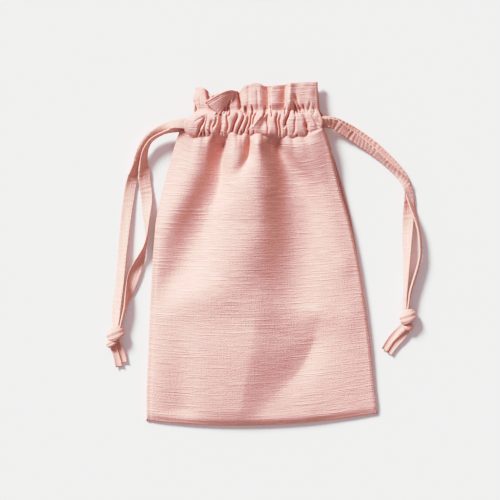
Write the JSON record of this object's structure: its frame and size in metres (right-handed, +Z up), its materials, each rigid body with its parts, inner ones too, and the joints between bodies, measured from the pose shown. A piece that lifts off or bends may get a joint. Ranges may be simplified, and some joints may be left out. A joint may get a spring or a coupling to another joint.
{
  "type": "cloth drawstring bag",
  "caption": "Flat pouch of slubbed cloth with a gathered casing, a ruffled heading and a knotted cloth-tape drawstring on each side, lying on its back with the mouth drawn partly closed.",
  "frame": {"origin": "on the surface the bag lies on, under the middle of the bag's box without its drawstrings", "axes": "+Y along the bag towards its mouth, +Z up from the surface through the front cloth, +X to the right as seen from above with the mouth away"},
  "size_m": [0.2236, 0.2403, 0.0214],
  "materials": {
    "cloth": "matt, slubbed plain weave",
    "tape": "matt, folded and edge-stitched cloth tape"
  },
  "bodies": {
    "root": {"front_panel": "cloth", "back_panel": "cloth", "front_hem": "cloth", "back_hem": "cloth", "left_channel_tape": "tape", "left_strand_outer": "tape", "left_strand_inner": "tape", "left_knot": "tape", "left_tail_outer": "tape", "left_tail_inner": "tape", "right_channel_tape": "tape", "right_strand_outer": "tape", "right_strand_inner": "tape", "right_knot": "tape", "right_tail_outer": "tape", "right_tail_inner": "tape"}
  },
  "joints": []
}
